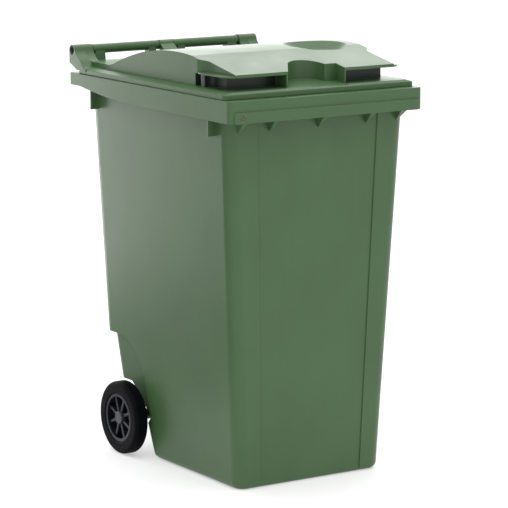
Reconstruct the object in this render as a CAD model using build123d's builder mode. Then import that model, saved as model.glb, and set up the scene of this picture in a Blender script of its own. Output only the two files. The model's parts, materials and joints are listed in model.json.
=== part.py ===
"""A two-wheeled refuse bin of the 360 litre class, in millimetres.

The bin stands on the XY plane with its front towards -Y and +X to the right seen from the front.
The origin is on the ground, in the middle of the bin's width and depth. Most places along the depth are
given as a distance behind a datum plane, 14 mm behind the collar's front face, which back() turns into Y.
"""

import os
from math import cos, radians, sin, sqrt

from build123d import *

# Overall form
SKIN = 4.0  # thickness of the container's walls
LID_SKIN = 3.5  # thickness of the lid's walls
EDGE_SOFTNESS = 1.5  # rounding of the collar's upper edges

# Container: every outer face is flat and leans evenly from the base to the collar
BODY_HEIGHT = 1007.0  # height at which the top sizes below are given
HALF_WIDTH_TOP, HALF_WIDTH_BASE = 279.0, 226.0
FRONT_TOP, FRONT_BASE = 32.0, 64.0
REAR_TOP, REAR_BASE = 729.0, 712.0
BODY_CORNER = 34.0
BASE_ROUNDING = 18.0
FLOOR = 7.0  # top of the container's floor
FOOT_HEIGHT = 4.0
FOOT_FRONT, FOOT_REAR = 165.0, 315.0  # the base is hollow between the front and rear feet
PANEL_DEPTH = 3.0  # how far the front panel is drawn in
PANEL_HALF_TOP, PANEL_HALF_BASE = 188.0, 156.0

# Zone over the wheels, where the side and rear walls are drawn in
RELIEF_TOP = 320.0
RELIEF_RADIUS = 140.0
RELIEF_BACK = 650.0  # where the curved edge begins to turn down
RELIEF_SIDE = 13.0
RELIEF_REAR, RELIEF_REAR_SLOPE = 702.0, 0.186
BAY_TOP = 192.0  # top of the space under the container, over the axle

# Collar
COLLAR_FRONT, COLLAR_REAR = -14.0, 806.0  # the bin's full depth
COLLAR_HALF = 299.0
COLLAR_LOW, COLLAR_TOP = 971.0, 1028.0
COLLAR_REAR_LOW = 995.0
COLLAR_CORNER = 13.0
BAND_DEPTH, BAND_TOP = 5.0, 999.0  # lower band that stands out along the front
GUSSET_PLACES = (-150.0, 0.0, 150.0)
CHIP_X, CHIP_Z, CHIP_SIDE = -261.0, 985.0, 20.0

# Wheels and axle
WHEEL_RADIUS = 100.0
AXLE_BACK = 583.0
AXLE_RADIUS = 10.0
WHEEL_OUTER, WHEEL_INNER = 284.0, 244.0  # distances of the tyre's faces from the middle
RIM_RADIUS, RIM_WALL = 66.0, 5.0
BOSS_RADIUS, CAP_RADIUS = 18.5, 17.0
BOSS_OUTER = 271.0
SPOKES = 8
AXLE_HALF = 278.0
GROOVE_HALF, GROOVE_DEPTH = 1.1, 1.5
GROOVE_PLACE = 274.6
LUG_PLACES = (98.0, 138.0)  # inner faces of the axle lugs
LUG_WIDTH = 6.0
RUNNING = 0.08  # radial running clearance of a shaft in its bore
SLEEVE_RADIUS = 15.0
WASHER_RADIUS, WASHER_THICKNESS = 14.0, 2.2
GAP = 0.3  # end play between the wheel and what holds it

# Handle bar and hinge
HINGE_BACK, HINGE_HEIGHT = 791.0, 1088.5
BAR_RADIUS, NECK_RADIUS = 13.0, 10.0
BAR_HALF = 234.0
NECK_HALF = 24.0
SPIGOT_RADIUS, SPIGOT_LENGTH = 7.0, 40.0
PIN_RADIUS, PIN_WALL = 12.5, 2.0
BRACKETS = ((47.0, 22.0), (214.0, 30.0))  # middle and width of each
EAR_INNER, EAR_OUTER, EAR_RADIUS = 238.0, 296.0, 15.0
HOOK_HALF, HOOK_RADIUS = 22.0, 13.6

# Lid
LID_HALF = 294.0
LID_FRONT, LID_REAR = 20.0, 766.0
LID_LOW, BRIM_EDGE, BRIM_TOP = 1028.6, 1041.0, 1046.5
LID_CORNER = 14.0
DOME_HALF = 264.0
DOME_RADIUS = 850.0
CROWN_BACK, CROWN_HEIGHT = 305.0, 1125.8
DECK_HEIGHT = 1060.0
SHOULDER_BACK, BROW_BACK, BROW_HEIGHT = 226.0, 196.0, 1116.0
GRIP_FRONT, GRIP_HEIGHT = 45.0, 1087.0
GRIP_CEILING, GRIP_PLATE = 1079.0, 4.0
LIP_CORNER = 30.0
GRIP_WALL_BACK, GRIP_WALL_SIDE = 97.0, 240.0
GRIP_INNER, GRIP_LIP, GRIP_END = 92.0, 270.0, 206.0
POST_FRONT, POST_BACK, POST_WIDTH = 163.0, 180.0, 8.0
CENTRE_FACE, DIVIDER = 85.0, 4.0
SCOOP_X, SCOOP_BACK, SCOOP_RADIUS, SCOOP_RISE = -2.0, 76.0, 55.0, 8.0
COVE_HALF, COVE_FRONT, COVE_END = 246.0, 164.0, 200.0
DISH_X, DISH_BACK, DISH_RADIUS = 150.0, 262.0, 66.0
DISH_FLOOR, DISH_TILT, DISH_FLARE = 1108.0, 3.0, 50.0  # height in its middle, and degrees


def back(distance):
    """Y of a place that lies this far behind the datum plane."""
    return distance - (COLLAR_FRONT + COLLAR_REAR) / 2


def side_points(*places):
    """Points of a side view: each place is (distance behind the datum plane, height)."""
    return [(back(distance), height) for distance, height in places]


def half_width(height):
    return HALF_WIDTH_BASE + (HALF_WIDTH_TOP - HALF_WIDTH_BASE) * height / BODY_HEIGHT


def front_back(height):
    return FRONT_BASE + (FRONT_TOP - FRONT_BASE) * height / BODY_HEIGHT


def rear_back(height):
    return REAR_BASE + (REAR_TOP - REAR_BASE) * height / BODY_HEIGHT


def relief_rear_back(height):
    return RELIEF_REAR - (RELIEF_TOP - height) * RELIEF_REAR_SLOPE


def dome_height(distance):
    """Height of the dome's crown arc at a distance behind the datum plane."""
    return CROWN_HEIGHT - DOME_RADIUS + sqrt(DOME_RADIUS**2 - (distance - CROWN_BACK) ** 2)


def side_prism(draw_outline, half, grow=0.0):
    """A closed outline drawn in the side view, grown by a distance and run across the width."""
    with BuildPart() as prism:
        with BuildSketch(Plane.YZ):
            with BuildLine():
                draw_outline()
            make_face()
            if grow:
                offset(amount=grow, kind=Kind.INTERSECTION)
        extrude(amount=half, both=True)
    return prism.part


def plate(half, first, last, low, high, corner=0.0):
    """An upright block with rounded corners, from one distance to another behind the datum plane."""
    with BuildPart() as block:
        with BuildSketch(Plane.XY.offset(low)):
            with Locations((0, back((first + last) / 2))):
                if corner:
                    RectangleRounded(2 * half, last - first, corner)
                else:
                    Rectangle(2 * half, last - first)
        extrude(amount=high - low)
    return block.part


def tube(places, radius, bore=0.0, centre=(0.0, 0.0)):
    """A bar along X between two places, centred on (Y, Z), with an optional bore."""
    first, last = places
    with BuildPart() as bar:
        with BuildSketch(Plane.YZ.offset(first)):
            with Locations(centre):
                Circle(radius)
                if bore:
                    Circle(bore, mode=Mode.SUBTRACT)
        extrude(amount=last - first)
    return bar.part


# ---------------------------------------------------------------- container


def tapered_block(low, high, shrink, side=0.0, rear=rear_back):
    """The container's leaning form between two heights, drawn in by shrink all round."""
    with BuildPart() as block:
        for height in (low, high):
            half = half_width(height) - shrink - side
            first = back(front_back(height)) + shrink
            last = back(rear(height)) - shrink
            with BuildSketch(Plane.XY.offset(height)):
                with Locations((0, (first + last) / 2)):
                    RectangleRounded(2 * half, last - first, BODY_CORNER - shrink)
        loft(ruled=True)
        if low == 0:
            fillet(block.edges().group_by(Axis.Z)[0], BASE_ROUNDING)
    return block.part


def relief_outline():
    """The zone over the wheels: level at the top, then a wide arc down towards the base."""
    turned = RELIEF_RADIUS * (1 - cos(radians(45)))
    start, middle, end = side_points(
        (RELIEF_BACK, RELIEF_TOP),
        (RELIEF_BACK - RELIEF_RADIUS + turned, RELIEF_TOP - turned),
        (RELIEF_BACK - RELIEF_RADIUS, RELIEF_TOP - RELIEF_RADIUS),
    )
    ThreePointArc(start, middle, end)
    Polyline(
        end, *side_points((495, 110), (540, 60), (540, -40), (800, -40), (800, RELIEF_TOP)), start
    )


def bay_outline():
    """The space under the container's rear: the base's rear face, a slope, and the tail."""
    tail, tail_middle, tail_end = side_points((655, BAY_TOP), (670, BAY_TOP + 6), (676, BAY_TOP + 21))
    foot = side_points((466, 0))[0]
    Polyline(
        foot,
        *side_points((480, 9), (488, 30), (502, 72), (514, 107), (575, 165), (606, BAY_TOP)),
        tail,
    )
    ThreePointArc(tail, tail_middle, tail_end)
    Polyline(tail_end, *side_points((800, BAY_TOP + 21), (800, -40), (466, -40)), foot)


def relief(shrink):
    """What is taken off the side and rear walls over the wheels."""
    with BuildPart() as zone:
        add(side_prism(relief_outline, COLLAR_HALF + 20, shrink))
        add(tapered_block(-60, 400, shrink, RELIEF_SIDE, relief_rear_back), mode=Mode.SUBTRACT)
    return zone.part


def container_form(shrink, low, high):
    """The container's outer form, or with a shrink the space inside it."""
    with BuildPart() as form:
        add(tapered_block(low, high, shrink))
        add(relief(shrink), mode=Mode.SUBTRACT)
        add(side_prism(bay_outline, COLLAR_HALF + 20, shrink), mode=Mode.SUBTRACT)
    return form.part


def front_panel_cut():
    """A shallow tapering recess down the whole front face."""
    lean = (FRONT_BASE - FRONT_TOP) / BODY_HEIGHT
    face = Plane(
        origin=(0, back(FRONT_BASE), 0), x_dir=(1, 0, 0), z_dir=(0, -1, -lean)
    )
    with BuildPart() as cut:
        with BuildSketch(face.offset(-PANEL_DEPTH)):
            with BuildLine():
                Polyline(
                    (-PANEL_HALF_BASE, -20),
                    (PANEL_HALF_BASE, -20),
                    (PANEL_HALF_TOP, COLLAR_TOP - 10),
                    (-PANEL_HALF_TOP, COLLAR_TOP - 10),
                    close=True,
                )
            make_face()
        extrude(amount=30)
    return cut.part


def collar_low_cut():
    """Below the collar: level from the front, then an arc that rises to the rear lug."""
    Polyline(
        *side_points((-40, COLLAR_LOW - 60), (-40, COLLAR_LOW), (400, COLLAR_LOW))
    )
    start, middle, end = side_points(
        (400, COLLAR_LOW), (590, COLLAR_LOW + 7), (745, COLLAR_REAR_LOW)
    )
    ThreePointArc(start, middle, end)
    Polyline(
        end, *side_points((840, COLLAR_REAR_LOW), (840, COLLAR_LOW - 60), (-40, COLLAR_LOW - 60))
    )


def front_band():
    """The lower band along the collar's front, which stands out from it."""
    with BuildPart() as band:
        rear = COLLAR_FRONT + BAND_DEPTH + 1
        add(plate(COLLAR_HALF - COLLAR_CORNER, COLLAR_FRONT, rear, COLLAR_LOW, BAND_TOP))
        fillet(band.edges().filter_by(Axis.Z).group_by(Axis.Y)[0], 4)
        fillet(band.edges().group_by(Axis.Y)[0].filter_by(Axis.X).sort_by(Axis.Z)[-1], EDGE_SOFTNESS)
    return band.part


def collar():
    """The hollow collar: an outer skirt and a flat top that joins it to the walls."""
    front = COLLAR_FRONT + BAND_DEPTH
    with BuildPart() as ring:
        add(plate(COLLAR_HALF, front, COLLAR_REAR, COLLAR_LOW, COLLAR_TOP, COLLAR_CORNER))
        fillet(ring.edges().group_by(Axis.Z)[-1], EDGE_SOFTNESS)
        add(
            plate(
                COLLAR_HALF - SKIN, front + SKIN, COLLAR_REAR - SKIN,
                COLLAR_LOW, COLLAR_TOP - SKIN, COLLAR_CORNER - SKIN,
            ),
            mode=Mode.SUBTRACT,
        )
        add(front_band())
        add(side_prism(collar_low_cut, COLLAR_HALF + 20), mode=Mode.SUBTRACT)
    return ring.part


def gusset(x, width):
    """A wedge under the collar's front that narrows to a point on the wall below."""
    face_back = COLLAR_FRONT + BAND_DEPTH
    wall_back = front_back(COLLAR_LOW) + 1
    with BuildPart() as wedge:
        with BuildSketch(Plane.XY.offset(COLLAR_LOW + 6)):
            with Locations((x, back((face_back + wall_back) / 2))):
                Rectangle(width, wall_back - face_back)
        with BuildSketch(Plane.XY.offset(COLLAR_LOW - 30)):
            with Locations((x, back(wall_back))):
                Rectangle(3, 4)
        loft(ruled=True)
    return wedge.part


def side_rib(distance, low):
    """A square rib from the side wall out to the collar's skirt, the same on both sides."""
    with BuildPart() as rib:
        with BuildSketch(Plane.XZ.offset(-back(distance))):
            for side in (-1, 1):
                with Locations((side * (COLLAR_HALF - 15), (low + COLLAR_TOP - 2) / 2)):
                    Rectangle(26, COLLAR_TOP - 2 - low)
        extrude(amount=2.5, both=True)
    return rib.part


def bracket(middle, width):
    """A tapering upright from the collar to the handle bar."""
    foot = COLLAR_TOP - 1
    with BuildPart() as upright:
        with BuildSketch(Plane.YZ.offset(middle - width / 2)):
            with BuildLine():
                Polyline(
                    *side_points((770, foot), (804, foot), (802, HINGE_HEIGHT), (779, HINGE_HEIGHT)),
                    close=True,
                )
            make_face()
        extrude(amount=width)
    return upright.part


def axle_lug(x):
    """A lug that hangs from the arch and carries the axle."""
    with BuildPart() as lug:
        with BuildSketch(Plane.YZ.offset(x)):
            with Locations((back(AXLE_BACK), WHEEL_RADIUS)):
                Circle(24)
            with Locations((back(AXLE_BACK), (WHEEL_RADIUS + BAY_TOP + 2) / 2)):
                Rectangle(48, BAY_TOP + 2 - WHEEL_RADIUS)
            with Locations((back(AXLE_BACK), WHEEL_RADIUS)):
                Circle(AXLE_RADIUS + 0.05, mode=Mode.SUBTRACT)
        extrude(amount=LUG_WIDTH)
    return lug.part


def handle_bar():
    """The moulded bar across the rear, necked in the middle."""
    centre = (back(HINGE_BACK), HINGE_HEIGHT)
    with BuildPart() as bar:
        add(tube((-NECK_HALF, NECK_HALF), NECK_RADIUS, centre=centre))
        for side in (-1, 1):
            add(tube(sorted((side * NECK_HALF, side * BAR_HALF)), BAR_RADIUS, centre=centre))
    return bar.part


def bar_bores():
    """The blind holes in the bar's ends, which hold the hinge pins' spigots."""
    with BuildPart() as bores:
        for side in (-1, 1):
            places = sorted((side * (BAR_HALF - SPIGOT_LENGTH - 2), side * (BAR_HALF + 1)))
            add(tube(places, SPIGOT_RADIUS + 0.02, centre=(back(HINGE_BACK), HINGE_HEIGHT)))
    return bores.part


def chip_pocket(half, depth):
    """A square pocket in the collar's lower band."""
    with BuildPart() as pocket:
        with BuildSketch(Plane.XZ.offset(-back(COLLAR_FRONT))):
            with Locations((CHIP_X, CHIP_Z)):
                RectangleRounded(2 * half, 2 * half, 2)
        extrude(amount=-depth)
    return pocket.part


with BuildPart() as container:
    add(container_form(0, 0, COLLAR_TOP - 1))
    add(front_panel_cut(), mode=Mode.SUBTRACT)
    add(
        plate(COLLAR_HALF, FOOT_FRONT, FOOT_REAR, -10, FOOT_HEIGHT),
        mode=Mode.SUBTRACT,
    )
    add(collar())
    for place in GUSSET_PLACES:
        add(gusset(place, 20))
    for side in (-1, 1):
        add(gusset(side * 246, 22))
    add(side_rib(98, 930))
    add(side_rib(690, 937))
    for place, width in BRACKETS:
        for side in (-1, 1):
            add(bracket(side * place, width))
    add(handle_bar())
    for place in LUG_PLACES:
        add(axle_lug(place))
        add(axle_lug(-place - LUG_WIDTH))
    add(container_form(SKIN, FLOOR, COLLAR_TOP + 1), mode=Mode.SUBTRACT)
    add(bar_bores(), mode=Mode.SUBTRACT)
    add(chip_pocket(CHIP_SIDE / 2, 6), mode=Mode.SUBTRACT)
container.part.label = "container"

with BuildPart() as chip_nest_plug:
    add(chip_pocket(CHIP_SIDE / 2 - 0.2, 6))
    with BuildSketch(Plane.XZ.offset(-back(COLLAR_FRONT + 1.2))):
        with Locations((CHIP_X, CHIP_Z)):
            Circle(5.5)
            Circle(4.3, mode=Mode.SUBTRACT)
    extrude(amount=2, mode=Mode.SUBTRACT)
chip_nest_plug.part.label = "chip_nest_plug"


# ---------------------------------------------------------------- lid


def dome_outline(shrink=0.0):
    """Side view of the raised part: deck at the rear, crown arc, brow and front edge."""
    rear_foot = 622.0
    low = LID_LOW - 1 if shrink else BRIM_EDGE
    crown_rear, crown, crown_front = side_points(
        *[(place, dome_height(place) - shrink) for place in (rear_foot, 400, SHOULDER_BACK)]
    )
    ThreePointArc(crown_rear, crown, crown_front)
    Polyline(
        crown_front,
        *side_points(
            (BROW_BACK, BROW_HEIGHT - shrink),
            (GRIP_FRONT + shrink, GRIP_HEIGHT - shrink),
            (GRIP_FRONT + shrink, low),
            (LID_REAR - shrink, low),
            (LID_REAR - shrink, DECK_HEIGHT - shrink),
            (rear_foot + 24, DECK_HEIGHT - shrink),
        ),
        crown_rear,
    )


def grip_block(grow):
    """Both hand grips' hollows: an L in plan that wraps the dome's front corner."""
    with BuildPart() as block:
        with BuildSketch(Plane.XY.offset(BRIM_TOP - 0.01 - grow)):
            for side in (-1, 1):
                with BuildLine():
                    Polyline(
                        (side * (GRIP_INNER - grow), back(20)),
                        (side * (GRIP_INNER - grow), back(GRIP_WALL_BACK + grow)),
                        (side * (GRIP_WALL_SIDE - grow), back(GRIP_WALL_BACK + grow)),
                        (side * (GRIP_WALL_SIDE - grow), back(GRIP_END + grow)),
                        (side * 300, back(GRIP_END + grow)),
                        (side * 300, back(20)),
                        close=True,
                    )
                make_face()
        extrude(amount=GRIP_CEILING - BRIM_TOP + (grow + GRIP_PLATE if grow else 0))
    return block.part


def centre_block(grow):
    """The open bay between the grips, and the round scoop behind it, over a rising floor."""
    rise = SCOOP_RISE / (SCOOP_BACK + SCOOP_RADIUS - GRIP_FRONT)
    floor = Plane(
        origin=(0, back(GRIP_FRONT), BRIM_TOP - grow), x_dir=(1, 0, 0), z_dir=(0, -rise, 1)
    )
    half, reach = GRIP_INNER - DIVIDER, CENTRE_FACE - GRIP_FRONT
    scoop = SCOOP_BACK - GRIP_FRONT
    with BuildPart() as block:
        with BuildSketch(floor):
            with Locations((half / 2, (reach - 30) / 2)):
                Rectangle(half, reach + 30)
            with Locations((0, -15)):
                Rectangle(2 * half, 30)
            with BuildLine():
                Polyline(
                    (-half, -0.5),
                    (SCOOP_X - SCOOP_RADIUS * 0.8368, scoop + SCOOP_RADIUS * 0.5476),
                    (SCOOP_X, scoop),
                    (10, -0.5),
                    close=True,
                )
            make_face()
            with Locations((SCOOP_X, scoop)):
                Circle(SCOOP_RADIUS)
            if grow:
                offset(amount=grow, kind=Kind.INTERSECTION)
        extrude(amount=100, dir=(0, 0, 1))
    return block.part


def cove_block(grow):
    """Both coves: the roof narrows over the grips and leaves their plates as shelves."""
    turn = ((DOME_HALF + COVE_HALF) / 2, (COVE_FRONT + COVE_END) / 2)
    with BuildPart() as block:
        for side in (-1, 1):
            rear = (side * DOME_HALF, back(COVE_END))
            bend = (side * turn[0], back(turn[1]))
            front = (side * COVE_HALF, back(COVE_FRONT))
            with BuildSketch(Plane.XY.offset(GRIP_CEILING - 1 - grow)):
                with BuildLine():
                    Line((side * (DOME_HALF + 30), back(COVE_END)), rear)
                    TangentArc(rear, bend, tangent=(0, -1))
                    TangentArc(front, bend, tangent=(0, 1))
                    Polyline(
                        front,
                        (side * COVE_HALF, back(0)),
                        (side * (DOME_HALF + 30), back(0)),
                        (side * (DOME_HALF + 30), back(COVE_END)),
                    )
                make_face()
                if grow:
                    offset(amount=grow, kind=Kind.INTERSECTION)
            extrude(amount=80)
    return block.part


def dish_block(grow):
    """The round dish in the right half of the roof: a flared wall over a floor that tilts."""
    floor = Plane(
        origin=(DISH_X, back(DISH_BACK), DISH_FLOOR), x_dir=(1, 0, 0),
        z_dir=(0, sin(radians(DISH_TILT)), cos(radians(DISH_TILT))),
    )
    height = 60.0
    flare = sin(radians(DISH_FLARE)) / cos(radians(DISH_FLARE))
    foot = DISH_RADIUS + grow * (1 - sin(radians(DISH_FLARE))) / cos(radians(DISH_FLARE))
    with BuildPart() as block:
        with BuildSketch(floor.offset(-grow)):
            Circle(foot)
        with BuildSketch(floor.offset(height)):
            Circle(foot + (height + grow) * flare)
        loft()
    return block.part


def ear_outline(foot_back, foot_height):
    """Side view of a hinge ear: round about the pin, flaring down on to the lid."""
    centre = (back(HINGE_BACK), HINGE_HEIGHT)
    top_front = (centre[0] - EAR_RADIUS * sin(radians(70)), centre[1] + EAR_RADIUS * cos(radians(70)))
    top = (centre[0], centre[1] + EAR_RADIUS)
    rear = (centre[0] + EAR_RADIUS, centre[1])
    foot, bend = side_points((foot_back, foot_height), (746, DECK_HEIGHT + 2))
    Spline(foot, bend, top_front, tangents=[(1, 0.02), (0.25, 1)])
    ThreePointArc(top_front, top, rear)
    Polyline(
        rear,
        *side_points(
            (HINGE_BACK + EAR_RADIUS, HINGE_HEIGHT - 34), (766, LID_LOW + 8), (foot_back, LID_LOW + 8)
        ),
        foot,
    )


def hinge_ears():
    """Both ears: over the dome they rise from its deck, and beside it from the brim."""
    centre = (back(HINGE_BACK), HINGE_HEIGHT)
    spans = (
        (EAR_INNER, DOME_HALF, 694, DECK_HEIGHT - 4),
        (DOME_HALF, EAR_OUTER, 718, BRIM_EDGE + 1),
    )
    with BuildPart() as ears:
        for side in (-1, 1):
            for first, last, foot_back, foot_height in spans:
                with BuildSketch(Plane.YZ.offset(side * first)):
                    with BuildLine():
                        ear_outline(foot_back, foot_height)
                    make_face()
                    with Locations(centre):
                        Circle(PIN_RADIUS + RUNNING, mode=Mode.SUBTRACT)
                extrude(amount=side * (last - first))
    return ears.part


def hook_outline():
    """Side view of the middle hook, which rides over the bar's neck and is open below."""
    Polyline(
        *side_points(
            (700, DECK_HEIGHT - 3), (742, DECK_HEIGHT + 6), (778, HINGE_HEIGHT + 3),
            (791, HINGE_HEIGHT), (783, HINGE_HEIGHT - 14), (766, 1052), (766, 1043), (700, 1043),
        ),
        close=True,
    )


def middle_hook():
    centre = (back(HINGE_BACK), HINGE_HEIGHT)
    with BuildPart() as hook:
        with BuildSketch(Plane.YZ):
            with BuildLine():
                hook_outline()
            make_face()
            with Locations(centre):
                Circle(HOOK_RADIUS)
            with BuildLine():
                Polyline(
                    centre, (centre[0] + 2, centre[1] - 40), (centre[0] + 40, centre[1] - 40),
                    (centre[0] + 40, centre[1] - 8), close=True,
                )
            make_face(mode=Mode.SUBTRACT)
            with Locations(centre):
                Circle(NECK_RADIUS + RUNNING, mode=Mode.SUBTRACT)
        extrude(amount=HOOK_HALF, both=True)
    return hook.part


def lid_outer():
    """The lid's outer form: brim, dome and grip plates, before the hinge ears."""
    with BuildPart() as form:
        add(plate(LID_HALF, LID_FRONT, LID_REAR, LID_LOW, BRIM_EDGE, LID_CORNER))
        with BuildSketch(Plane.XY.offset(BRIM_EDGE)):
            with Locations((0, back((LID_FRONT + LID_REAR) / 2))):
                RectangleRounded(2 * LID_HALF, LID_REAR - LID_FRONT, LID_CORNER)
        with BuildSketch(Plane.XY.offset(BRIM_TOP)):
            with Locations((0, back((LID_FRONT + LID_REAR) / 2))):
                RectangleRounded(2 * (DOME_HALF + 12), LID_REAR - LID_FRONT - 16, LID_CORNER)
        loft(ruled=True)
        add(side_prism(dome_outline, DOME_HALF))
        add(cove_block(0), mode=Mode.SUBTRACT)
        lip_top = GRIP_CEILING + GRIP_PLATE
        add(plate(GRIP_LIP, GRIP_FRONT, GRIP_END, GRIP_CEILING, lip_top, LIP_CORNER))
        add(grip_block(0), mode=Mode.SUBTRACT)
        for side in (-1, 1):
            with BuildSketch(Plane.XY.offset(BRIM_TOP - 1)):
                with Locations(
                    (side * (DOME_HALF - POST_WIDTH / 2), back((POST_FRONT + POST_BACK) / 2))
                ):
                    Rectangle(POST_WIDTH, POST_BACK - POST_FRONT)
            extrude(amount=GRIP_CEILING - BRIM_TOP + 2)
        add(centre_block(0), mode=Mode.SUBTRACT)
        add(dish_block(0), mode=Mode.SUBTRACT)
    return form.part


def lid_hollow():
    """The space inside the lid: under the brim, and inside the dome less what is cut into it."""
    with BuildPart() as hollow:
        add(side_prism(lambda: dome_outline(LID_SKIN), DOME_HALF - LID_SKIN))
        add(grip_block(LID_SKIN), mode=Mode.SUBTRACT)
        add(centre_block(LID_SKIN), mode=Mode.SUBTRACT)
        add(cove_block(LID_SKIN), mode=Mode.SUBTRACT)
        add(dish_block(LID_SKIN), mode=Mode.SUBTRACT)
        add(
            plate(
                LID_HALF - LID_SKIN, LID_FRONT + LID_SKIN, LID_REAR - LID_SKIN,
                LID_LOW - 1, BRIM_EDGE - LID_SKIN, LID_CORNER - LID_SKIN,
            )
        )
        add(plate(DOME_HALF - 8, 52, 750, BRIM_EDGE - LID_SKIN - 1, BRIM_TOP - LID_SKIN))
    return hollow.part


with BuildPart() as lid:
    add(lid_outer())
    add(hinge_ears())
    add(middle_hook())
    add(lid_hollow(), mode=Mode.SUBTRACT)
lid.part.label = "lid"


# ---------------------------------------------------------------- hinge pins, axle and wheels


AXLE_CENTRE = (0, back(AXLE_BACK), WHEEL_RADIUS)
AXLE_LINE = Axis(AXLE_CENTRE, (1, 0, 0))
# Turned pieces are drawn on this plane: its X runs along the axle and its Y is the radius
AXLE_PLANE = Plane(origin=AXLE_CENTRE, x_dir=(1, 0, 0), z_dir=(0, -1, 0))


def ring(first, last, inner, outer):
    """A rectangular section of a turned piece, from one place on the axle to another."""
    with Locations(((first + last) / 2, (inner + outer) / 2)):
        Rectangle(last - first, outer - inner)


def turned_ring(first, last, inner, outer):
    with BuildPart() as piece:
        with BuildSketch(AXLE_PLANE):
            ring(first, last, inner, outer)
        revolve(axis=AXLE_LINE)
    return piece.part


def wheel_plane(place):
    """A plane across the axle, seen from outside the right wheel."""
    return Plane(origin=(place, back(AXLE_BACK), WHEEL_RADIUS), x_dir=(0, 1, 0), z_dir=(1, 0, 0))


def tyre():
    """Solid rubber tyre with round shoulders and four grooves in its tread."""
    shoulder, bead = 10.0, 3.0
    groove_width, groove_depth = 1.8, 2.0
    middle = (WHEEL_INNER + WHEEL_OUTER) / 2
    side, top = WHEEL_RADIUS - shoulder, WHEEL_RADIUS
    bend = shoulder * (1 - cos(radians(45)))
    with BuildPart() as piece:
        with BuildSketch(AXLE_PLANE):
            with BuildLine():
                Polyline(
                    (WHEEL_INNER, side), (WHEEL_INNER, RIM_RADIUS + bead), (WHEEL_INNER + bead, RIM_RADIUS),
                    (WHEEL_OUTER - bead, RIM_RADIUS), (WHEEL_OUTER, RIM_RADIUS + bead), (WHEEL_OUTER, side),
                )
                ThreePointArc(
                    (WHEEL_OUTER, side), (WHEEL_OUTER - bend, top - bend), (WHEEL_OUTER - shoulder, top)
                )
                Line((WHEEL_OUTER - shoulder, top), (WHEEL_INNER + shoulder, top))
                ThreePointArc(
                    (WHEEL_INNER + shoulder, top), (WHEEL_INNER + bend, top - bend), (WHEEL_INNER, side)
                )
            make_face()
            for place in (-7.5, -2.5, 2.5, 7.5):
                with Locations((middle + place, top)):
                    Rectangle(groove_width, 2 * groove_depth, mode=Mode.SUBTRACT)
        revolve(axis=AXLE_LINE)
    return piece.part


def wheel_hub():
    """Moulded wheel centre: rim, boss, a thin web between them and ribs on both faces of the web."""
    rim_first, rim_last = WHEEL_INNER + 2, WHEEL_OUTER - 2
    web_first, web_last = 258.0, 261.5
    rim_inner = RIM_RADIUS - RIM_WALL
    spoke_width, spoke_first, spoke_last = 7.0, 250.0, 277.0
    with BuildPart() as hub:
        with BuildSketch(AXLE_PLANE):
            ring(rim_first, rim_last, rim_inner, RIM_RADIUS)
            ring(rim_last - 3, rim_last, rim_inner - 2.5, RIM_RADIUS)
            ring(WHEEL_INNER - GAP, BOSS_OUTER, AXLE_RADIUS + RUNNING, BOSS_RADIUS)
            ring(web_first, web_last, BOSS_RADIUS - 1, rim_inner + 1)
        revolve(axis=AXLE_LINE)
        with BuildSketch(wheel_plane(spoke_first)):
            with PolarLocations((BOSS_RADIUS + rim_inner) / 2, SPOKES, start_angle=180 / SPOKES):
                Rectangle(rim_inner - BOSS_RADIUS + 2, spoke_width)
        extrude(amount=spoke_last - spoke_first)
    return hub.part


def hub_cap():
    """A round cap pressed on the boss, over the end of the axle."""
    cap_outer = WHEEL_OUTER - 1.5
    with BuildPart() as cap:
        with BuildSketch(AXLE_PLANE):
            ring(cap_outer - 2, cap_outer, 0, CAP_RADIUS)
            ring(BOSS_OUTER, cap_outer - 2, CAP_RADIUS - 2, CAP_RADIUS)
        revolve(axis=AXLE_LINE)
        fillet(cap.edges().filter_by(GeomType.CIRCLE).sort_by(Axis.X)[-1], 1.8)
    return cap.part


def retaining_ring():
    """An open ring in the axle's groove, outside the washer."""
    with BuildPart() as clip:
        with BuildSketch(wheel_plane(GROOVE_PLACE - GROOVE_HALF + 0.1)):
            Circle(AXLE_RADIUS + 3)
            Circle(AXLE_RADIUS - GROOVE_DEPTH + 0.05, mode=Mode.SUBTRACT)
            with Locations((0, -AXLE_RADIUS)):
                Rectangle(8, 12, mode=Mode.SUBTRACT)
        extrude(amount=2 * GROOVE_HALF - 0.2)
    return clip.part


def hinge_pin():
    """A hollow pin: its broad end carries the lid's ear, its spigot fits the bar's end."""
    centre = (back(HINGE_BACK), HINGE_HEIGHT)
    with BuildPart() as pin:
        add(tube((BAR_HALF + 0.1, EAR_OUTER - 0.5), PIN_RADIUS, centre=centre))
        add(tube((BAR_HALF - SPIGOT_LENGTH, BAR_HALF + 1), SPIGOT_RADIUS, centre=centre))
        add(tube((BAR_HALF + 12, EAR_OUTER), PIN_RADIUS - PIN_WALL, centre=centre), mode=Mode.SUBTRACT)
    return pin.part


with BuildPart() as axle:
    with BuildSketch(AXLE_PLANE):
        ring(-AXLE_HALF, AXLE_HALF, 0, AXLE_RADIUS)
        for side in (-1, 1):
            groove = sorted((side * (GROOVE_PLACE - GROOVE_HALF), side * (GROOVE_PLACE + GROOVE_HALF)))
            with Locations((sum(groove) / 2, AXLE_RADIUS)):
                Rectangle(2 * GROOVE_HALF, 2 * GROOVE_DEPTH, mode=Mode.SUBTRACT)
    revolve(axis=AXLE_LINE)
    chamfer(axle.edges().filter_by(GeomType.CIRCLE).group_by(Axis.X)[0], 1)
    chamfer(axle.edges().filter_by(GeomType.CIRCLE).group_by(Axis.X)[-1], 1)
axle.part.label = "axle"

LUG_FACE = LUG_PLACES[-1] + LUG_WIDTH
INNER_WASHER = WHEEL_INNER - 2 * GAP - WASHER_THICKNESS

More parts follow.
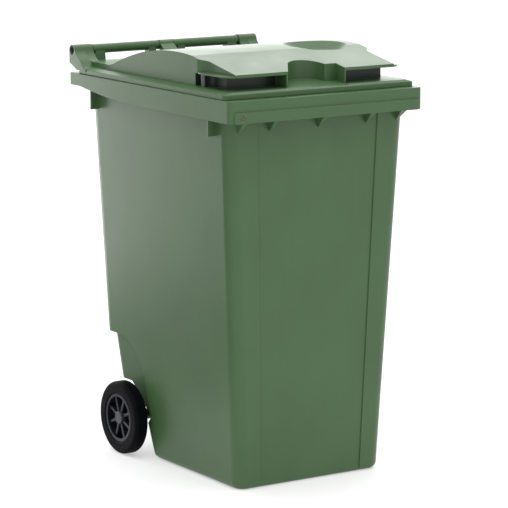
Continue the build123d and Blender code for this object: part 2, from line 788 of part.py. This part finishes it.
RIGHT_PIECES = {
    "hinge_pin": hinge_pin(),
    "spacer_sleeve": turned_ring(LUG_FACE + 0.1, INNER_WASHER - 0.1, AXLE_RADIUS + 0.05, SLEEVE_RADIUS),
    "inner_washer": turned_ring(
        INNER_WASHER, INNER_WASHER + WASHER_THICKNESS, AXLE_RADIUS + 0.1, WASHER_RADIUS
    ),
    "wheel_hub": wheel_hub(),
    "tyre": tyre(),
    "outer_washer": turned_ring(
        BOSS_OUTER + GAP, BOSS_OUTER + GAP + WASHER_THICKNESS - 0.1, AXLE_RADIUS + 0.1, WASHER_RADIUS
    ),
    "retaining_ring": retaining_ring(),
    "hub_cap": hub_cap(),
}

os.makedirs("parts", exist_ok=True)
for piece in (container, chip_nest_plug, lid, axle):
    export_step(piece.part, f"parts/{piece.part.label}.step")

for name, right in RIGHT_PIECES.items():
    right.label = f"{name}_right"
    export_step(right, f"parts/{right.label}.step")
    left = right.mirror(Plane.YZ)
    left.label = f"{name}_left"
    export_step(left, f"parts/{left.label}.step")
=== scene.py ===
"""The looks of a two-wheeled refuse bin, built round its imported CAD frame. Units are metres."""
import json
from math import radians

import bpy
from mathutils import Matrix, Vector

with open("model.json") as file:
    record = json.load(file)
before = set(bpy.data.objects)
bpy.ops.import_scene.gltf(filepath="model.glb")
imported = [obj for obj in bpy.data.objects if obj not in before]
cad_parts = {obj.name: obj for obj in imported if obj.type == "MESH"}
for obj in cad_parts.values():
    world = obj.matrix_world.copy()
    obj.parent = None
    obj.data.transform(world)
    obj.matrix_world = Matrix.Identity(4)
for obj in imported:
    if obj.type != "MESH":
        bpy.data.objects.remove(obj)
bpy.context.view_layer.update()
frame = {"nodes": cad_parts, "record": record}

NODES = frame["nodes"]
AXLE_LINE = (0.187, 0.1)  # Y and Z of the wheels' axle

GREEN = (0.056, 0.115, 0.0465)
GRIP_PAINTED_SHADE = (0.018, 0.029, 0.021)  # painted shade: a dark colour that stands in for the shade on the inner walls of the lid's hand grips, under their overhanging plates
GRIP_SHADE_SPANS = ((0.0921, 0.2699), (-0.36, -0.1865), (1.0475, 1.0787))  # the spans of |X|, Y and Z where the grips' painted shade lies
SIDEWALL_EDGE = (0.092, 0.095)  # the tyre's moulded rings fade out between these radii
SIDEWALL_RINGS = 1150.0  # radians of a ring's wave to a metre of radius

WHITE = (1.0, 1.0, 1.0, 1.0)
BRIGHT_HORIZON = (0.54, 0.82, 0.18)  # where the surroundings are brightest: low, behind at the right
FLOOR_HALF = 60.0
GREY_CARD = [(-1.35, -1.0, 0.002), (3.1, 7.4, 0.002), (-2.0, 10.0, 0.002), (-6.0, 2.0, 0.002)]

# ---------------------------------------------------------------- materials


class Material:
    """A material under construction, with short calls for its nodes."""

    def __init__(self, name):
        self.material = bpy.data.materials.new(name)
        self.material.use_nodes = True
        self.tree = self.material.node_tree
        self.shader = self.tree.nodes["Principled BSDF"]
        self.place = self.node("ShaderNodeTexCoord").outputs["Object"]

    def node(self, kind, **settings):
        made = self.tree.nodes.new(kind)
        for name, value in settings.items():
            setattr(made, name, value)
        return made

    def link(self, output, socket):
        self.tree.links.new(output, socket)

    def stretched(self, scale):
        """The object's coordinates, scaled by three factors."""
        mapping = self.node("ShaderNodeMapping")
        mapping.inputs["Scale"].default_value = scale
        self.link(self.place, mapping.inputs["Vector"])
        return mapping.outputs["Vector"]

    def noise(self, scale, detail=2.0, roughness=0.5, place=None):
        made = self.node("ShaderNodeTexNoise")
        made.inputs["Scale"].default_value = scale
        made.inputs["Detail"].default_value = detail
        made.inputs["Roughness"].default_value = roughness
        self.link(place or self.place, made.inputs["Vector"])
        return made.outputs["Fac"]

    def spread(self, value, low, high, start=0.0, end=1.0):
        """A value mapped from start..end to low..high, and held there outside."""
        made = self.node("ShaderNodeMapRange", clamp=True)
        self.link(value, made.inputs["Value"])
        for socket, number in zip(("From Min", "From Max", "To Min", "To Max"), (start, end, low, high)):
            made.inputs[socket].default_value = number
        return made.outputs["Result"]

    def mixed(self, factor, first, second):
        """A colour between two others, each a colour or an output."""
        made = self.node("ShaderNodeMix", data_type="RGBA")
        self.link(factor, made.inputs["Factor"])
        for name, value in (("A", first), ("B", second)):
            socket = [s for s in made.inputs if s.name == name and s.type == "RGBA"][0]
            if isinstance(value, tuple):
                socket.default_value = (*value, 1.0)
            else:
                self.link(value, socket)
        return [s for s in made.outputs if s.type == "RGBA"][0]

    def maths(self, operation, first, second=0.0):
        made = self.node("ShaderNodeMath", operation=operation)
        for socket, value in zip(made.inputs, (first, second)):
            if isinstance(value, (int, float)):
                socket.default_value = value
            else:
                self.link(value, socket)
        return made.outputs["Value"]

    def coordinate(self, axis):
        """One of the object's coordinates."""
        parts = self.node("ShaderNodeSeparateXYZ")
        self.link(self.place, parts.inputs["Vector"])
        return parts.outputs[axis]

    def bump(self, height, distance, strength=1.0, under=None):
        made = self.node("ShaderNodeBump")
        made.inputs["Strength"].default_value = strength
        made.inputs["Distance"].default_value = distance
        self.link(height, made.inputs["Height"])
        if under:
            self.link(under, made.inputs["Normal"])
        return made.outputs["Normal"]

    def rounded(self, radius):
        """Normals that soften sharp edges, as a mould's small radii do."""
        made = self.node("ShaderNodeBevel", samples=6)
        made.inputs["Radius"].default_value = radius
        return made.outputs["Normal"]

    def radius_from(self, y, z):
        """Distance from a line along X through a place in the object's coordinates."""
        across = self.maths("POWER", self.maths("SUBTRACT", self.coordinate("Y"), y), 2.0)
        up = self.maths("POWER", self.maths("SUBTRACT", self.coordinate("Z"), z), 2.0)
        return self.maths("SQRT", self.maths("ADD", across, up))

    def within(self, value, low, high):
        """One where a value lies in a range, and nought elsewhere."""
        return self.maths(
            "MULTIPLY", self.maths("GREATER_THAN", value, low), self.maths("LESS_THAN", value, high)
        )

    def inside(self, spans):
        """One inside a pair of mirrored blocks, given by their spans of |X|, Y and Z."""
        values = (
            self.maths("ABSOLUTE", self.coordinate("X")), self.coordinate("Y"), self.coordinate("Z"),
        )
        in_x, in_y, in_z = [self.within(value, *span) for value, span in zip(values, spans)]
        return self.maths("MULTIPLY", self.maths("MULTIPLY", in_x, in_y), in_z)

    def finish(self, color, roughness, normal=None, **sockets):
        self.link(color, self.shader.inputs["Base Color"])
        self.link(roughness, self.shader.inputs["Roughness"])
        if normal:
            self.link(normal, self.shader.inputs["Normal"])
        for name, value in sockets.items():
            self.shader.inputs[name.replace("_", " ")].default_value = value
        return self.material


def scaled(color, factor):
    return tuple(channel * factor for channel in color)


def moulded_plastic(name, color, gloss=0.36, grain=0.00006, edge=0.0022, shine=0.36, shade_spans=None):
    """Satin moulded polyethylene: clouded colour, flow streaks, fine spark-eroded grain, and painted
    shade inside any given spans.
    """
    m = Material(name)
    cloud = m.noise(5.0, 4.0)
    pigment_and_painted_shade = m.mixed(m.spread(cloud, 0.0, 1.0, 0.35, 0.65), scaled(color, 0.955), scaled(color, 1.045))
    streak = m.noise(1.0, 3.0, place=m.stretched((38.0, 38.0, 2.2)))
    pigment_and_painted_shade = m.mixed(m.spread(streak, 0.0, 0.22, 0.45, 0.8), pigment_and_painted_shade, scaled(color, 1.12))
    speck = m.noise(420.0, 2.0)
    pigment_and_painted_shade = m.mixed(m.spread(speck, 0.0, 0.35, 0.62, 0.8), pigment_and_painted_shade, scaled(color, 0.8))
    # Painted shade: inside the given spans the colour is darkened to stand in for the shade in the lid's
    # hand grips.
    if shade_spans:
        pigment_and_painted_shade = m.mixed(m.inside(shade_spans), pigment_and_painted_shade, GRIP_PAINTED_SHADE)
    patch = m.noise(9.0, 5.0, 0.6)
    roughness = m.spread(patch, gloss - 0.035, gloss + 0.05, 0.3, 0.7)
    fine = m.noise(1500.0, 2.0, 0.6)
    wavy = m.noise(16.0, 2.0, 0.4)
    normal = m.bump(wavy, 0.0006, 0.35, under=m.rounded(edge))
    normal = m.bump(fine, grain, 0.6, under=normal)
    return m.finish(pigment_and_painted_shade, roughness, normal, IOR=1.5, Specular_IOR_Level=shine)


def rubber(name, color):
    """Solid rubber with moulded rings on its sidewalls."""
    m = Material(name)
    cloud = m.noise(40.0, 3.0)
    tone = m.mixed(m.spread(cloud, 0.0, 1.0, 0.3, 0.7), scaled(color, 0.8), scaled(color, 1.3))
    dust = m.noise(160.0, 5.0, 0.65)
    tone = m.mixed(m.spread(dust, 0.0, 0.25, 0.55, 0.8), tone, scaled(color, 3.5))
    roughness = m.spread(cloud, 0.5, 0.66, 0.3, 0.7)
    radius = m.radius_from(*AXLE_LINE)
    rings = m.maths("SINE", m.maths("MULTIPLY", radius, SIDEWALL_RINGS))
    rings = m.maths("MULTIPLY", rings, m.spread(radius, 1.0, 0.0, *SIDEWALL_EDGE))
    normal = m.bump(rings, 0.0007, 0.5, under=m.rounded(0.0012))
    normal = m.bump(m.noise(1100.0, 3.0, 0.6), 0.00012, 0.7, under=normal)
    return m.finish(tone, roughness, normal, IOR=1.5, Specular_IOR_Level=0.04)


def plated_steel(name, color, roughness_low, roughness_high):
    """Plated steel, brushed round the axle."""
    m = Material(name)
    brushed = m.noise(60.0, 4.0, 0.6, place=m.stretched((1.0, 14.0, 14.0)))
    tone = m.mixed(m.spread(brushed, 0.0, 1.0, 0.3, 0.7), scaled(color, 0.85), scaled(color, 1.1))
    roughness = m.spread(brushed, roughness_low, roughness_high, 0.3, 0.7)
    normal = m.bump(brushed, 0.00004, 0.5)
    return m.finish(tone, roughness, normal, Metallic=1.0)


def matt(name, dark, light, scale):
    """A dull surface of the stage, clouded between two greys."""
    m = Material(name)
    tone = m.mixed(m.noise(scale, 2.0), (dark,) * 3, (light,) * 3)
    m.link(tone, m.shader.inputs["Base Color"])
    m.shader.inputs["Roughness"].default_value = 0.9
    m.shader.inputs["Specular IOR Level"].default_value = 0.1
    return m


MATERIALS = {
    "body_green": moulded_plastic("body_green", GREEN),
    # lid_green carries painted shade on the inner walls of its hand grips, standing in for the shade
    # under the grip plates.
    "lid_green": moulded_plastic("lid_green", GREEN, gloss=0.33, shine=0.38, shade_spans=GRIP_SHADE_SPANS),
    "plug_olive": moulded_plastic("plug_olive", (0.07, 0.115, 0.05), gloss=0.42),
    "pin_green": moulded_plastic("pin_green", (0.06, 0.085, 0.065), gloss=0.4),
    "sleeve_black": moulded_plastic("sleeve_black", (0.012, 0.012, 0.013), gloss=0.4),
    "hub_black": moulded_plastic("hub_black", (0.010, 0.011, 0.017), gloss=0.36, edge=0.0012),
    "cap_grey": moulded_plastic("cap_grey", (0.045, 0.048, 0.062), gloss=0.36, edge=0.0012),
    "tyre_black": rubber("tyre_black", (0.0035, 0.0036, 0.0046)),
    "axle_steel": plated_steel("axle_steel", (0.42, 0.43, 0.44), 0.28, 0.42),
    "washer_steel": plated_steel("washer_steel", (0.5, 0.5, 0.5), 0.25, 0.38),
    "ring_steel": plated_steel("ring_steel", (0.12, 0.12, 0.13), 0.3, 0.45),
}

SLOT_OF = {part["node"]: part["material_slot"] for part in frame["record"]["subparts"]}
for name, node in NODES.items():
    node.data.materials.clear()
    node.data.materials.append(MATERIALS[SLOT_OF[name]])


# ---------------------------------------------------------------- stage, lights and camera


def placed(name, data):
    """A new object of the scene that holds some data."""
    made = bpy.data.objects.new(name, data)
    bpy.context.scene.collection.objects.link(made)
    return made


def soft_box(name, place, target, size, power):
    data = bpy.data.lights.new(name, "AREA")
    data.shape = "RECTANGLE"
    data.size, data.size_y = size
    data.energy = power
    lamp = placed(name, data)
    lamp.location = place
    lamp.rotation_euler = (Vector(target) - Vector(place)).to_track_quat("-Z", "Y").to_euler()


def flat_piece(name, corners, surface):
    """A level piece with four corners and a surface of its own."""
    mesh = bpy.data.meshes.new(name)
    mesh.from_pydata(corners, [], [(0, 1, 2, 3)])
    mesh.materials.append(surface.material)
    return placed(name, mesh)


def studio_floor():
    """A wide floor, a little bright in itself, so that it stays white under the lights."""
    half = FLOOR_HALF
    surface = matt("studio_floor", 0.5, 0.52, 0.6)
    surface.shader.inputs["Emission Color"].default_value = WHITE
    surface.shader.inputs["Emission Strength"].default_value = 0.42
    corners = [(-half, -half, 0), (half, -half, 0), (half, half, 0), (-half, half, 0)]
    flat_piece("floor", corners, surface)


def grey_card():
    """A dull card on the floor at the left, which keeps the container's side from looking pale."""
    card = flat_piece("grey_card", GREY_CARD, matt("grey_card", 0.23, 0.27, 1.5))
    card.visible_camera = False


def studio_world():
    """White surroundings, brighter overhead, and brightest where the lid's top mirrors them."""
    world = bpy.data.worlds.new("studio")
    world.use_nodes = True
    tree = world.node_tree
    background = tree.nodes["Background"]
    place = tree.nodes.new("ShaderNodeTexCoord").outputs["Generated"]

    def ramp(value, start, end, low, high):
        made = tree.nodes.new("ShaderNodeMapRange")
        for socket, number in zip(("From Min", "From Max", "To Min", "To Max"), (start, end, low, high)):
            made.inputs[socket].default_value = number
        tree.links.new(value, made.inputs["Value"])
        return made.outputs["Result"]

    toward = tree.nodes.new("ShaderNodeVectorMath")
    toward.operation = "DOT_PRODUCT"
    tree.links.new(place, toward.inputs[0])
    toward.inputs[1].default_value = BRIGHT_HORIZON
    split = tree.nodes.new("ShaderNodeSeparateXYZ")
    tree.links.new(place, split.inputs["Vector"])
    total = tree.nodes.new("ShaderNodeMath")
    tree.links.new(ramp(toward.outputs["Value"], 0.7, 0.97, 0.5, 2.7), total.inputs[0])
    tree.links.new(ramp(split.outputs["Z"], 0.5, 0.9, 0.0, 2.0), total.inputs[1])
    tree.links.new(total.outputs["Value"], background.inputs["Strength"])
    background.inputs["Color"].default_value = WHITE
    bpy.context.scene.world = world


def camera():
    data = bpy.data.cameras.new("camera")
    data.sensor_width = 36.0
    data.lens = 195.05
    data.clip_end = 200.0
    made = placed("camera", data)
    made.location = (-3.978, -6.138, 1.8703)
    made.rotation_euler = (radians(90.0 - 10.2), 0.0, radians(-33.2))
    bpy.context.scene.camera = made


studio_floor()
grey_card()
studio_world()
soft_box("left_rear_box", (-0.72, 1.9, 0.6), (-0.27, 0.35, 0.6), (0.55, 1.2), 13.0)
soft_box("front_box", (1.5, -4.0, 2.6), (0.0, 0.0, 0.6), (2.5, 2.5), 14.0)
camera()
bpy.context.scene.view_settings.view_transform = "Standard"
